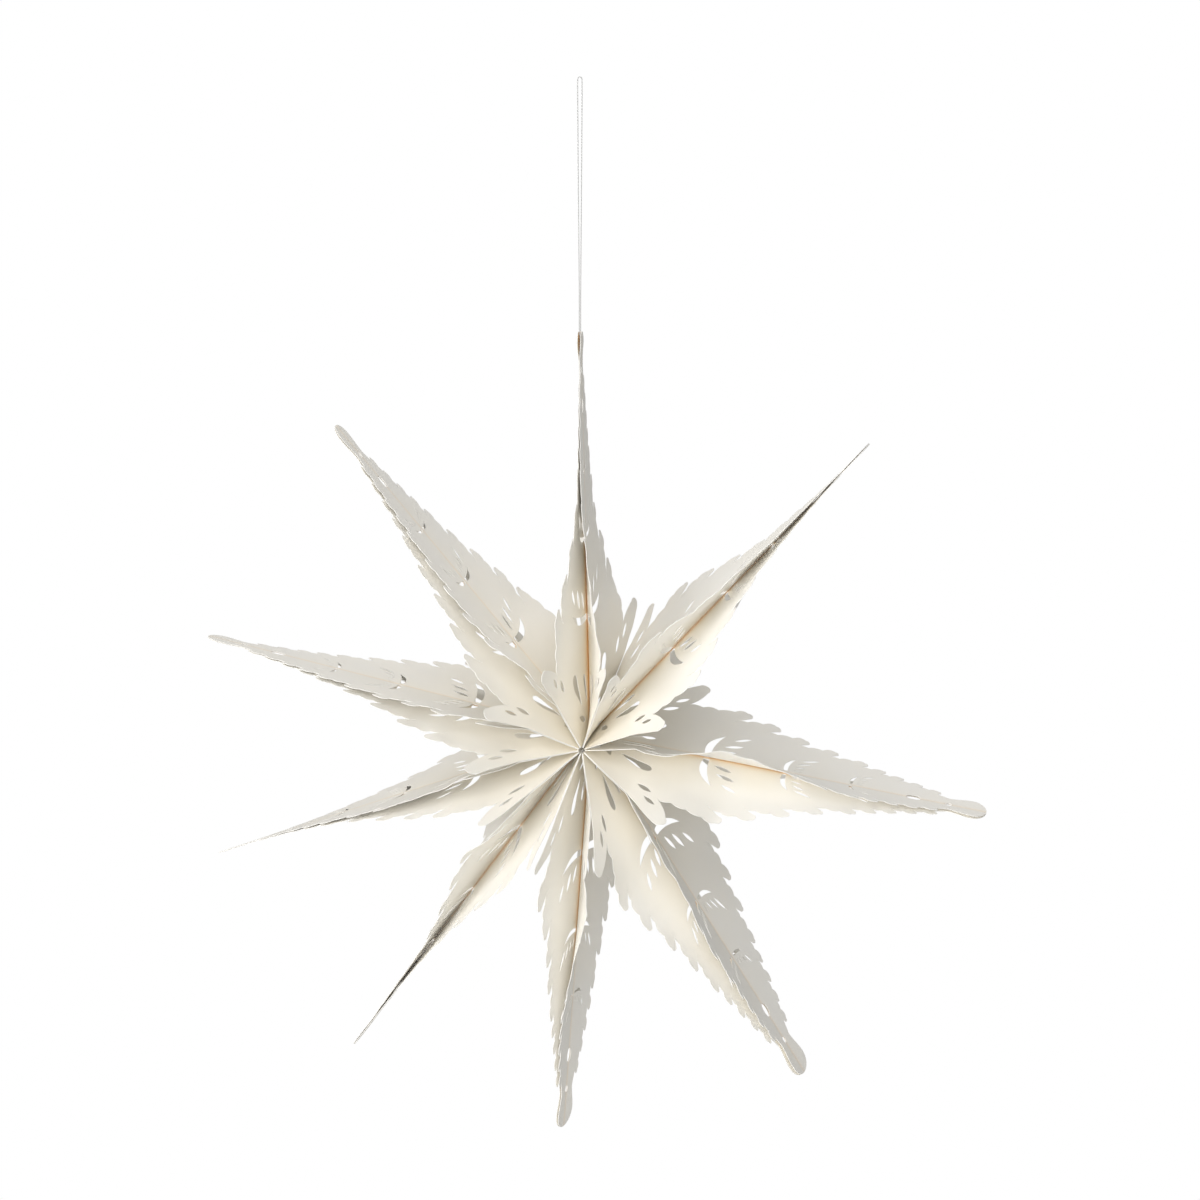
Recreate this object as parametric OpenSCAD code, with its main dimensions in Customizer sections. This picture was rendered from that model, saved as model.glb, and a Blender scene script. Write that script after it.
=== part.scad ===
// Paper snowflake ornament: nine points around one axis, each point two die-cut sheets
// glued back to back along their centre crease, hung by a looped thread.
// Frame: X to the right, -Y towards the viewer, Z up, origin at the top of the thread loop.

/* [Star] */
// Distance from the axis to the tip of a point, along its crease
tip_r = 200; // [170:1:240]
// Thickness of the paper
paper_t = 0.3; // [0.2:0.05:0.4]
// Thickness of a line of glue
glue_t = 0.04; // [0.02:0.01:0.08]
// Distance from the axis to the folded-in edges of the sheets
hub_r = 1.6; // [1.5:0.1:3]
// Sideways lean of the axis at the front, in mm for each mm of depth
lean_x = -0.07; // [-0.2:0.01:0.2]
// Upward lean of the axis at the front, in mm for each mm of depth
lean_z = -0.25; // [-0.35:0.01:0.2]

/* [Directions of the points] */
// Angle of the top point, measured from +X towards +Z
dir_top = 91.5; // [88:0.5:95]
// Angle of the upper left point
dir_upper_left = 130; // [127:0.5:133]
// Angle of the left point
dir_left = 166.5; // [164:0.5:169]
// Angle of the lower left point
dir_lower_left = 198.5; // [197:0.5:200]
// Angle of the bottom left point
dir_bottom_left = 233; // [232:0.5:235]
// Angle of the bottom point
dir_bottom = 266; // [265:0.5:268]
// Angle of the bottom right point
dir_bottom_right = 302.5; // [300:0.5:305]
// Angle of the right point
dir_right = 349.5; // [347:0.5:352]
// Angle of the upper right point, a full turn on
dir_upper_right = 406.5; // [403:0.5:409]
// Half angle of a sheet beside the seam where the ring of points was closed
seam_half = 22; // [16:0.5:24]

/* [Twist of the points] */
// Turn of the top point about its crease, half way out and at its tip
twist_top = [6, 5]; // [-20:1:20]
// Turn of the upper left point, half way out and at its tip
twist_upper_left = [1, 5]; // [-20:1:20]
// Turn of the left point, half way out and at its tip
twist_left = [3, 10]; // [-20:1:20]
// Turn of the lower left point, half way out and at its tip
twist_lower_left = [5, 16]; // [-20:1:20]
// Turn of the bottom left point, half way out and at its tip
twist_bottom_left = [1, 6]; // [-20:1:20]
// Turn of the bottom point, half way out and at its tip
twist_bottom = [3, 17]; // [-20:1:20]
// Turn of the bottom right point, half way out and at its tip
twist_bottom_right = [3, 14]; // [-20:1:20]
// Turn of the right point, half way out and at its tip
twist_right = [-7, 5]; // [-20:1:20]
// Turn of the upper right point, half way out and at its tip
twist_upper_right = [-1, -7]; // [-20:1:20]

/* [Spread of the sheets] */
// Widest angle of the top point's two sheets from its middle plane: anticlockwise, clockwise
spread_top = [15, 10]; // [5:1:35]
// Widest angle of the upper left point's sheets: anticlockwise, clockwise
spread_upper_left = [13, 6]; // [5:1:35]
// Widest angle of the left point's sheets: anticlockwise, clockwise
spread_left = [9, 8]; // [5:1:35]
// Widest angle of the lower left point's sheets: anticlockwise, clockwise
spread_lower_left = [11, 6]; // [5:1:35]
// Widest angle of the bottom left point's sheets: anticlockwise, clockwise
spread_bottom_left = [13, 21]; // [5:1:35]
// Widest angle of the bottom point's sheets: anticlockwise, clockwise
spread_bottom = [18, 16]; // [5:1:35]
// Widest angle of the bottom right point's sheets: anticlockwise, clockwise
spread_bottom_right = [19, 23]; // [5:1:35]
// Widest angle of the right point's sheets: anticlockwise, clockwise
spread_right = [20, 29]; // [5:1:35]
// Widest angle of the upper right point's sheets: anticlockwise, clockwise
spread_upper_right = [20, 20]; // [5:1:35]

/* [Closing of the sheets] */
// Length over which the spread of the top point's sheets falls to about a third:
// anticlockwise, clockwise
close_top = [26, 24]; // [15:1:120]
// The same two lengths on the upper left point
close_upper_left = [75, 40]; // [15:1:120]
// The same two lengths on the left point
close_left = [40, 32]; // [15:1:120]
// The same two lengths on the lower left point
close_lower_left = [28, 26]; // [15:1:120]
// The same two lengths on the bottom left point
close_bottom_left = [38, 42]; // [15:1:120]
// The same two lengths on the bottom point
close_bottom = [65, 65]; // [15:1:120]
// The same two lengths on the bottom right point
close_bottom_right = [100, 95]; // [15:1:120]
// The same two lengths on the right point
close_right = [62, 65]; // [15:1:120]
// The same two lengths on the upper right point
close_upper_right = [42, 50]; // [15:1:120]

/* [Sheet outline] */
// Half length of the sheet's edge on the axis
core_half = 22.5; // [18:0.5:26]
// Length along the crease of the edge glued to the next point
ridge_len = 27; // [20:1:30]
// Rise of that edge away from the crease, in mm for each mm along it
ridge_rise = 0.5; // [0.3:0.05:0.6]
// Reach of the first narrow lobe past the glued edge, along the crease
finger_len = 19.5; // [14:0.5:22]
// Reach of the first narrow lobe past the glued edge, away from the crease
finger_rise = 22.5; // [16:0.5:25]
// Width of the first narrow lobe
finger_w = 6.5; // [4:0.5:8]
// Place along the crease of the first wide lobe's tip
lobe_start = 74; // [70:0.5:78]
// Distance of that tip from the crease
lobe_half = 42; // [38:0.5:46]
// Fall of the lobes' distance from the crease, in mm for each mm along it
lobe_fall = 0.32; // [0.25:0.01:0.34]
// Spacing of the wide lobes
wide_pitch = 15.8; // [14:0.1:17]
// Number of wide lobes on an edge
wide_n = 5; // [3:1:5]
// Spacing of the small lobes
small_pitch = 9.7; // [8:0.1:10]
// Number of small lobes on an edge
small_n = 4; // [2:1:4]
// Depth of a notch between lobes, as a share of the lobe's distance from the crease
notch_share = 0.27; // [0.15:0.01:0.32]
// Direction of a notch, from the crease
notch_dir = 54; // [45:1:62]
// Half width of the rounded end of a point
paddle_half = 7.3; // [6:0.1:8]
// Length of the rounded end
paddle_len = 24; // [22:1:28]

/* [Cut-outs] */
// Places along the crease of the three fan motifs
fan_at = [58, 98, 131.5]; // [56:0.5:133]
// Sizes of the three fan motifs against the first
fan_size = [1, 0.62, 0.42]; // [0.35:0.01:1.05]
// Half width of the plain strip left along the crease for glue
strip_half = 1.6; // [1.2:0.1:2.2]
// Distance from the tip to the large hole on the crease
large_hole_back = 36.5; // [33:0.5:40]
// Length of the large hole
large_hole_len = 7.5; // [5:0.5:9]
// Width of the large hole
large_hole_w = 4.4; // [3:0.2:6]
// Distance from the tip to the small hole on the crease
small_hole_back = 19; // [16:0.5:22]
// Length of the small hole
small_hole_len = 3.8; // [2:0.2:5]
// Width of the small hole
small_hole_w = 2.4; // [1.6:0.2:4]

/* [Thread and tab] */
// Diameter of the thread
thread_d = 0.5; // [0.4:0.05:0.6]
// Length of the closing tab on each of the two sheets that it joins
tab_len = 7; // [4:0.5:10]
// Width of the closing tab, along the axis
tab_w = 5; // [3:0.5:8]

/* [Hidden] */

POINT_NAMES = ["top", "upper_left", "left", "lower_left", "bottom_left",
    "bottom", "bottom_right", "right", "upper_right"];
POINT_DIR = [dir_top, dir_upper_left, dir_left, dir_lower_left, dir_bottom_left,
    dir_bottom, dir_bottom_right, dir_right, dir_upper_right];
POINT_TWIST = [twist_top, twist_upper_left, twist_left, twist_lower_left, twist_bottom_left,
    twist_bottom, twist_bottom_right, twist_right, twist_upper_right];
POINT_SPREAD = [spread_top, spread_upper_left, spread_left, spread_lower_left,
    spread_bottom_left, spread_bottom, spread_bottom_right, spread_right, spread_upper_right];
POINT_CLOSE = [close_top, close_upper_left, close_left, close_lower_left, close_bottom_left,
    close_bottom, close_bottom_right, close_right, close_upper_right];
POINT_COUNT = len(POINT_DIR);

// Colours, as the photo shows them: lit, shaded and thread white
LIT_PAPER = [0.95, 0.94, 0.90];
SHADED_PAPER = [0.80, 0.77, 0.71];
THREAD_WHITE = [0.97, 0.97, 0.96];

// Route of one strand of the thread, from the loop's top down to the knot: [sideways, up]
STRAND = [[0, 0], [0.45, -0.15], [0.8, -0.5], [1, -1], [1.1, -2], [1.1, -4], [1.1, -8], [1.05, -14],
    [1, -22], [0.95, -32], [0.85, -44], [0.75, -56], [0.65, -68], [0.55, -80], [0.45, -92],
    [0.35, -104], [0.32, -114], [0.32, -122], [0.32, -126.5]];
// Height of the loop's top above the top point's tip
thread_drop = 125;
// Centre of the star, where the creases meet, with the top tip under the thread
STAR_CENTRE = [-tip_r * cos(dir_top), 0, -thread_drop - tip_r * sin(dir_top)];
// Room beyond the outline on the bent blank, so that the outline alone cuts it: beside the glued
// edge and beside the lobes
RIDGE_ROOM = 0.6;
LOBE_ROOM = 5;
// Spans of the blank's loft along the glued edge, the first narrow lobe and the rest
RIDGE_SPANS = 5;
FINGER_SPANS = 3;
LOBE_SPANS = 8;
// Shift of the rings along the crease, so that none passes through a corner of the outline
RING_SHIFT = 0.7;
// Share of the glued flare kept along the first narrow lobe
FINGER_SHARE = 0.96;
// Where the sheets spread widest, and the length over which they start to close from there
FLARE_PEAK_AT = lobe_start;
CLOSE_START = 10;
// Length at the top point's tip over which its two sheets part to hold the knot, and the length
// at the very tip where they lie level again
SPLAY_LEN = 14;
LEVEL_LEN = 4;
KNOT_D = 2.4 * thread_d;
EDGE_SIDES = 8;

function sheet_name(k, side) = str(POINT_NAMES[k], side > 0 ? "_sheet_a" : "_sheet_b");
function smooth(t) = let (c = min(1, max(0, t))) c * c * (3 - 2 * c);
function mix(a, b, t) = a + (b - a) * t;

// Half of the angle between a point and its neighbour on one side (1 is anticlockwise).
// The ring closes between the last point and the first one.
function half_angle(k, side) =
    let (seam = (k == POINT_COUNT - 1 && side < 0) || (k == POINT_COUNT - 2 && side > 0))
    seam ? seam_half
    : side > 0 ? (k == POINT_COUNT - 1 ? POINT_DIR[0] + 360 - POINT_DIR[k]
        : POINT_DIR[k + 1] - POINT_DIR[k]) / 2
    : (k == 0 ? POINT_DIR[0] + 360 - POINT_DIR[POINT_COUNT - 1]
        : POINT_DIR[k] - POINT_DIR[k - 1]) / 2;

// Distance from the crease to the glued edge at a place along the crease
function ridge_half(s) = core_half + ridge_rise * s;

// Flare of a wing, in degrees from the point's middle plane. Along the glued edge it brings the
// sheet's outer face to the plane half way to the next point.
function glued_flare(s, half) =
    asin(max(0, (s * tan(half) - paper_t - 1.1 * glue_t) / ridge_half(s)));
function flare(k, side, s) =
    let (
        half = half_angle(k, side),
        peak = POINT_SPREAD[k][side > 0 ? 0 : 1],
        held = FINGER_SHARE * glued_flare(ridge_len, half),
        finger_end = ridge_len + finger_len,
        past = max(0, s - FLARE_PEAK_AT))
    s <= ridge_len ? glued_flare(s, half)
    : s <= finger_end ? mix(glued_flare(ridge_len, half), held, smooth((s - ridge_len) / 6))
    : s <= FLARE_PEAK_AT ? mix(held, peak, smooth((s - finger_end) / (FLARE_PEAK_AT - finger_end)))
    : peak * exp(-past * past / (past + CLOSE_START) / POINT_CLOSE[k][side > 0 ? 0 : 1]);

// Turn of a point about its crease
function point_turn(k, s) =
    s <= FLARE_PEAK_AT ? POINT_TWIST[k][0] * smooth((s - ridge_len) / (FLARE_PEAK_AT - ridge_len))
    : mix(POINT_TWIST[k][0], POINT_TWIST[k][1],
        smooth((s - FLARE_PEAK_AT) / (tip_r - FLARE_PEAK_AT)));

// Distance of a sheet's middle surface from the point's middle plane, at the crease
function crease_offset(k, side, s) =
    glue_t / 2 + paper_t / (2 * cos(flare(k, side, s)))
    + (k == 0 ? (KNOT_D + glue_t) / 2
        * smooth((s - tip_r + SPLAY_LEN) / (SPLAY_LEN - LEVEL_LEN)) : 0);

// A place on a sheet as [along the crease, sideways, forwards]: s along the crease, x away from
// it (forwards is positive), and lift from the middle surface towards the far face.
function section_place(k, side, s, x, lift) =
    let (
        a = flare(k, side, s),
        depth = x == 0 ? 0 : x * cos(a) - sign(x) * lift * sin(a),
        out = crease_offset(k, side, s) + abs(x) * sin(a)
            + (x == 0 ? lift / cos(a) : lift * cos(a)),
        turn = point_turn(k, s),
        sideways = side * out * cos(turn) - depth * sin(turn),
        forwards = depth * cos(turn) + side * out * sin(turn))
    [s, sideways, forwards];

// The same place in the star's own axes, with the lean of its axis
function star_place(k, p) =
    let (d = POINT_DIR[k])
    STAR_CENTRE + [
        p[0] * cos(d) - p[1] * sin(d) + lean_x * p[2],
        -p[2],
        p[0] * sin(d) + p[1] * cos(d) + lean_z * p[2]];

// The same place seen square to the point's middle plane, where the die cuts
function die_place(k, side, q) =
    let (p = section_place(k, side, q[0], q[1], 0), d = POINT_DIR[k])
    [p[0] + p[2] * (lean_x * cos(d) + lean_z * sin(d)), p[2]];

// Outline of the sheet, one half: tips of the lobes along a falling curve, notches between them
LOBE_AT = concat(
    [for (i = [0 : wide_n - 1]) lobe_start + i * wide_pitch],
    [for (i = [1 : small_n]) lobe_start + (wide_n - 1) * wide_pitch + i * small_pitch]);
function lobe_x(s) = lobe_half - lobe_fall * (s - lobe_start);
function notch_end(i) =
    let (depth = notch_share * lobe_x(LOBE_AT[i]))
    [LOBE_AT[i] - depth * cos(notch_dir), lobe_x(LOBE_AT[i]) - depth * sin(notch_dir)];

FINGER_BASE = [ridge_len, ridge_half(ridge_len)];
FINGER_TIP = FINGER_BASE + [finger_len, finger_rise];
FINGER_DIR = [finger_len, finger_rise] / norm([finger_len, finger_rise]);
FINGER_SIDE = [FINGER_DIR[1], -FINGER_DIR[0]];
// The first notch ends beside the finger's root
FIRST_NOTCH = FINGER_BASE + FINGER_SIDE * (finger_w + 4) + FINGER_DIR * 10;
function finger_points() = [
    FINGER_BASE,
    FINGER_BASE + FINGER_DIR * 12 - FINGER_SIDE * 0.4,
    FINGER_TIP - FINGER_DIR * 3,
    FINGER_TIP + FINGER_SIDE * finger_w * 0.4,
    FINGER_TIP + FINGER_SIDE * finger_w * 0.8 - FINGER_DIR * 2.5,
    FINGER_TIP + FINGER_SIDE * finger_w - FINGER_DIR * 7,
    FIRST_NOTCH];

// One lobe from the notch before it to the notch after it, with two rounded scallops
function lobe_points(from, i) =
    let (
        tip = [LOBE_AT[i], lobe_x(LOBE_AT[i])],
        to = notch_end(i),
        run = tip - from,
        across = [-run[1], run[0]] / norm(run),
        size = norm(run))
    i < wide_n ? [
        from + run * 0.28 + across * size * 0.13,
        from + run * 0.46 + across * size * 0.13,
        from + run * 0.51 + across * size * 0.06,
        from + run * 0.8 + across * size * 0.1,
        tip,
        tip + (to - tip) * 0.12 + [1.3, 0.2],
        to]
    : [
        from + run * 0.4 + across * size * 0.12,
        from + run * 0.8 + across * size * 0.1,
        tip,
        to];

function lobe_start_point(i) = i == 0 ? FIRST_NOTCH : notch_end(i - 1);

PADDLE_NECK = tip_r - paddle_len;
function paddle_points() = concat(
    [[PADDLE_NECK + 2, paddle_half * 0.86]],
    [for (a = [20 : 20 : 80])
        [tip_r - paddle_half * 1.5 * (1 - sin(a)), paddle_half * cos(a)]],
    [[tip_r, 0]]);

function half_outline() = concat(
    [[0, core_half]],
    finger_points(),
    [for (i = [0 : len(LOBE_AT) - 1], p = lobe_points(lobe_start_point(i), i)) p],
    paddle_points());

function mirrored(points) = [for (i = [len(points) - 1 : -1 : 0]) [points[i][0], -points[i][1]]];
function whole_outline() =
    let (half = half_outline())
    concat(half, [for (p = mirrored(half)) if (p[1] != 0) p]);

// A slender cut between two places, pointed at the ends and bulging to each side by a share
function slit(from, to, right, left) =
    let (run = to - from, across = [-run[1], run[0]], middle = from + run * 0.6)
    [from, middle - across * right, to, middle + across * left];

// A fuller cut of the same kind, with a rounded end
function comma(from, to, right, left) =
    let (run = to - from, across = [-run[1], run[0]])
    [from, from + run * 0.35 - across * right * 0.7, from + run * 0.8 - across * right,
        to - across * 0.04, to + across * 0.06,
        from + run * 0.8 + across * left, from + run * 0.35 + across * left * 0.8];

// Crescent of a fan motif, base side out
function crescent(at, size) = [for (p = [[0, 0], [-1.2, 4.5], [-0.6, 10], [2, 14.5], [7.5, 18.5],
    [5, 13], [3.6, 8.5], [2.8, 4], [3, 0]]) [at + size * p[0], strip_half + size * p[1]]];

// Slits that fan out from a crescent: three broad ones on the first motif, four fine ones on the
// others, longer away from the crease
BROAD_SLITS = [[[6, 3.5], [15.5, 6]], [[8, 9], [18, 11.8]], [[12, 15.5], [20.5, 19.2]]];
FINE_SLITS = [[[7, 2], [15, 3]], [[7.5, 6.5], [17, 8.5]], [[9, 11.5], [21, 15.5]],
    [[11.5, 17], [27, 23]]];
// Bulge of those slits, as a share of their length, and the motif size from which they are broad
BROAD_BULGE = 0.11;
FINE_BULGE = 0.07;
BROAD_FROM = 0.8;
function fan_slits(at, size) =
    let (broad = size > BROAD_FROM, bulge = broad ? BROAD_BULGE : FINE_BULGE)
    [for (q = broad ? BROAD_SLITS : FINE_SLITS)
        slit([at + size * q[0][0], strip_half + size * q[0][1]],
            [at + size * q[1][0], strip_half + size * q[1][1]],
            bulge, bulge)];

// Slits around the root of the sheet
function root_slits() = [
    comma([17, 3.6], [32, 5.8], 0.07, 0.08),
    comma([18, 10.5], [35, 17.5], 0.12, 0.13),
    slit([30.5, 28.5], [38.5, 33.5], 0.14, 0.14),
    slit([35.5, 36.5], [42, 42.5], 0.13, 0.13),
    slit([13.5, 15], [9.5, 7.5], 0.18, 0.18)];

function oval(at, length, width) = [for (i = [0 : EDGE_SIDES - 1])
    [at + length / 2 * cos(360 * i / EDGE_SIDES), width / 2 * sin(360 * i / EDGE_SIDES)]];

function half_holes() = concat(
    [for (m = [0 : len(fan_at) - 1]) crescent(fan_at[m], fan_size[m])],
    [for (m = [0 : len(fan_at) - 1], p = fan_slits(fan_at[m], fan_size[m])) p],
    root_slits());

// The blank: a bent strip of paper, lofted along the crease through arrow-shaped sections
RINGS = concat(
    [for (i = [0 : RIDGE_SPANS - 1]) mix(hub_r, ridge_len + RING_SHIFT, i / RIDGE_SPANS)],
    [for (i = [0 : FINGER_SPANS - 1]) ridge_len + finger_len * i / FINGER_SPANS + RING_SHIFT],
    [for (i = [0 : LOBE_SPANS])
        mix(FINGER_TIP[0] + RING_SHIFT, tip_r - SPLAY_LEN, i / LOBE_SPANS)],
    [tip_r - LEVEL_LEN, tip_r + 1]);
function blank_half(s) =
    s <= ridge_len ? ridge_half(s) + RIDGE_ROOM
    : s <= FINGER_TIP[0] ? FINGER_BASE[1] + (s - ridge_len) * finger_rise / finger_len + 2
    : LOBE_ROOM + max(paddle_half, lobe_x(min(s, tip_r) - 2 * finger_w));
function blank_ring(k, side, s) =
    let (w = blank_half(s), h = paper_t / 2)
    [for (q = [[-w, -h], [0, -h], [w, -h], [w, h], [0, h], [-w, h]])
        star_place(k, section_place(k, side, s, q[0], q[1]))];

module blank(k, side) {
    n = 6;
    last_ring = len(RINGS) - 1;
    rings = [for (s = RINGS) blank_ring(k, side, s)];
    points = [for (ring = rings, p = ring) p];
    // Both faces of a wing are split along the same diagonal, so that the paper keeps its thickness
    // and no part of it reaches past the glued edge
    walls = [for (i = [0 : last_ring - 1], j = [0 : n - 1], half = [0, 1])
        let (a = i * n + j, b = i * n + (j + 1) % n, far = j == 1 || j == 4)
        half == 0 ? (far ? [a, b, a + n] : [a, b, b + n])
        : (far ? [b, b + n, a + n] : [a, b + n, a + n])];
    first = [[1, 0, 5, 4], [2, 1, 4, 3]];
    last = [for (f = first) [for (j = [3 : -1 : 0]) f[j] + last_ring * n]];
    faces = concat(walls, first, last);
    polyhedron(points, side > 0 ? faces : [for (f = faces) [for (j = [len(f) - 1 : -1 : 0]) f[j]]]);
}

// Puts a flat shape in the point's middle plane, its X along the crease and its Y forwards
module stand_in_point(k) {
    translate(STAR_CENTRE) rotate([0, -POINT_DIR[k], 0]) rotate([180, 0, 0])
        translate([0, 0, -tip_r / 2]) linear_extrude(tip_r) children();
}

module die_cut(k, side) {
    difference() {
        polygon([for (q = whole_outline()) die_place(k, side, q)]);
        for (hole = half_holes(), mirror_half = [0, 1])
            polygon([for (q = mirror_half == 0 ? hole : mirrored(hole)) die_place(k, side, q)]);
        polygon([for (q = oval(tip_r - large_hole_back, large_hole_len, large_hole_w))
            die_place(k, side, q)]);
        polygon([for (q = oval(tip_r - small_hole_back, small_hole_len, small_hole_w))
            die_place(k, side, q)]);
    }
}

module sheet(k, side) {
    color(side * cos(POINT_DIR[k] - 135) > 0 ? LIT_PAPER : SHADED_PAPER)
        intersection() {
            blank(k, side);
            stand_in_point(k) die_cut(k, side);
        }
}

for (k = [0 : POINT_COUNT - 1], side = [1, -1])
    sheet(k, side);

// Distances of the closing tab from the sheets' front edge and, at its fold, from their inner edge,
// and its lines of glue against those along the creases
TAB_INSET = 0.5;
TAB_FOLD = 1.2;
TAB_GLUE_LINES = 3;

// Strip of paper folded across the seam at the front of the axis, glued to its two outer sheets
module closing_tab() {
    seam = [[POINT_COUNT - 2, 1], [POINT_COUNT - 1, -1]];
    front = core_half - TAB_INSET;
    inner = paper_t / 2 + TAB_GLUE_LINES * glue_t;
    // Across the seam: out along one sheet and back along the other
    line = [[0, hub_r + tab_len], [0, hub_r + TAB_FOLD], [1, hub_r + TAB_FOLD],
        [1, hub_r + tab_len]];
    points = [for (q = line, x = [front - tab_w, front], lift = [inner, inner + paper_t])
        star_place(seam[q[0]][0], section_place(seam[q[0]][0], seam[q[0]][1], q[1], x, lift))];
    quad = [[0, 1, 5, 4], [1, 3, 7, 5], [3, 2, 6, 7], [2, 0, 4, 6]];
    walls = [for (i = [0 : len(line) - 2], f = quad, half = [[0, 1, 2], [0, 2, 3]])
        [for (c = half) f[c] + 4 * i]];
    ends = [[0, 2, 3, 1], [12, 13, 15, 14]];
    color(LIT_PAPER) polyhedron(points, concat(walls, ends));
}

KNOT_AT = [0, 0, STRAND[len(STRAND) - 1][1] - KNOT_D / 2];
module thread_knot() {
    color(THREAD_WHITE) translate(KNOT_AT) sphere(d = KNOT_D, $fn = 24);
}

// The thread: one tube up one strand, over the top and down the other
module hanging_thread() {
    sides = 8;
    n = len(STRAND);
    route = concat([for (i = [n - 1 : -1 : 1]) [-STRAND[i][0], STRAND[i][1]]], STRAND);
    turns = len(route);
    function along(i) =
        let (a = route[max(0, i - 1)], b = route[min(turns - 1, i + 1)]) (b - a) / norm(b - a);
    points = [for (i = [0 : turns - 1], j = [0 : sides - 1])
        let (
            d = along(i),
            across = [d[1], -d[0]],
            r = thread_d / 2,
            c = 360 * (j + 0.5) / sides)
        [route[i][0] + r * cos(c) * across[0], -r * sin(c), route[i][1] + r * cos(c) * across[1]]];
    walls = [for (i = [0 : turns - 2], j = [0 : sides - 1], half = [0, 1])
        let (a = i * sides + j, b = i * sides + (j + 1) % sides)
        half == 0 ? [a, b, b + sides] : [a, b + sides, a + sides]];
    ends = [[for (j = [sides - 1 : -1 : 0]) j], [for (j = [0 : sides - 1]) j + (turns - 1) * sides]];
    color(THREAD_WHITE) polyhedron(points, concat(walls, ends));
}

closing_tab();
thread_knot();
hanging_thread();
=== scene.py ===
"""Paper snowflake ornament: nine points around one axis, each two die-cut sheets glued back to
back along their centre crease, hung by a looped thread.

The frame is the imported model's: X to the right, -Y towards the viewer, Z up, origin at the top of
the thread loop, metres. Sizes of the sheets are written in millimetres, as the part's source has
them, and turned into metres where they are placed.
"""
import math

import bmesh
import bpy
import numpy as np
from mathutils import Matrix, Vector, geometry


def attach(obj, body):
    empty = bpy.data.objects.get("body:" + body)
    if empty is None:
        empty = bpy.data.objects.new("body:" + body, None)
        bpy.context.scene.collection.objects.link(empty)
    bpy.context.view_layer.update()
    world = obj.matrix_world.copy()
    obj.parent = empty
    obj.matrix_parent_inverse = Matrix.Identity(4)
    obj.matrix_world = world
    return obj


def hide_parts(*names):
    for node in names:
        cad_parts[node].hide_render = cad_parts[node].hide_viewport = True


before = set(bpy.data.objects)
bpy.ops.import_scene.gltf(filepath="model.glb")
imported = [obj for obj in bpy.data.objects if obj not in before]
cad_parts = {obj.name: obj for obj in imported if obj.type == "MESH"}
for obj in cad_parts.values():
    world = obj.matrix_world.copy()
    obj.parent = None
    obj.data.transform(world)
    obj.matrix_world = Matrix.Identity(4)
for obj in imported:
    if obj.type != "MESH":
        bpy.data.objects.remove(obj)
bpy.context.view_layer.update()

MM = 0.001

# Star, as in the part's source, in millimetres and degrees
TIP_R = 200.0
PAPER_T = 0.3
GLUE_T = 0.04
HUB_R = 1.6
LEAN_X = -0.07
LEAN_Z = -0.25
SEAM_HALF = 22.0

# Each point: direction, twist half way and at the tip, widest spread of its anticlockwise and
# clockwise sheets, lengths over which they close, and how deep the painted glow in its crease is
POINTS = {
    "top": (91.5, (6, 5), (15, 10), (26, 24), 1.0),
    "upper_left": (130.0, (1, 5), (13, 6), (75, 40), 0.35),
    "left": (166.5, (3, 10), (9, 8), (40, 32), 0.55),
    "lower_left": (198.5, (5, 16), (11, 6), (28, 26), 0.6),
    "bottom_left": (233.0, (1, 6), (13, 21), (38, 42), 0.5),
    "bottom": (266.0, (3, 17), (18, 16), (65, 65), 0.5),
    "bottom_right": (302.5, (3, 14), (19, 23), (100, 95), 0.4),
    "right": (349.5, (-7, 5), (20, 29), (62, 65), 0.4),
    "upper_right": (406.5, (-1, -7), (20, 20), (42, 50), 0.6),
}
NAMES = list(POINTS)
DIRECTION = [p[0] for p in POINTS.values()]
TWIST = [p[1] for p in POINTS.values()]
SPREAD = [p[2] for p in POINTS.values()]
CLOSE = [p[3] for p in POINTS.values()]
PAINTED_CREASE_GLOW = [p[4] for p in POINTS.values()]
LAST = len(NAMES) - 1

# Sheet outline
CORE_HALF = 22.5
RIDGE_LEN = 27.0
RIDGE_RISE = 0.5
FINGER_LEN = 19.5
FINGER_RISE = 22.5
FINGER_W = 6.5
LOBE_START = 74.0
LOBE_HALF = 42.0
LOBE_FALL = 0.32
WIDE_PITCH = 15.8
WIDE_N = 5
SMALL_PITCH = 9.7
SMALL_N = 4
NOTCH_SHARE = 0.31
NOTCH_DIR = math.radians(50)
PADDLE_HALF = 7.3
PADDLE_LEN = 24.0

# Cut-outs
FAN_AT = (58.0, 98.0, 131.5)
FAN_SIZE = (1.0, 0.62, 0.42)
STRIP_HALF = 1.6
LARGE_HOLE = (36.5, 7.5, 4.4)
SMALL_HOLE = (19.0, 3.8, 2.4)

# Bend of the sheets
RING_GAP = 1.1 * GLUE_T
HELD_FROM = 6.0
FINGER_SHARE = 0.96
CLOSE_START = 10.0
SPLAY_LEN = 14.0
LEVEL_LEN = 4.0
FOLD_R = 0.35
ROLL_HEIGHT = 0.45
CURL_HEIGHT = 0.35

# Thread: one strand's route from the loop's top down to the knot, [sideways, up], millimetres
THREAD_D = 0.5
STRAND = [
    (0, 0), (0.45, -0.15), (0.8, -0.5), (1, -1), (1.1, -2), (1.1, -4), (1.1, -8), (1.05, -14),
    (1, -22), (0.95, -32), (0.85, -44), (0.75, -56), (0.65, -68), (0.55, -80), (0.45, -92),
    (0.35, -104), (0.32, -114), (0.32, -122), (0.32, -126.5),
]
THREAD_DROP = 125.0
KNOT_D = 2.4 * THREAD_D

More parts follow.
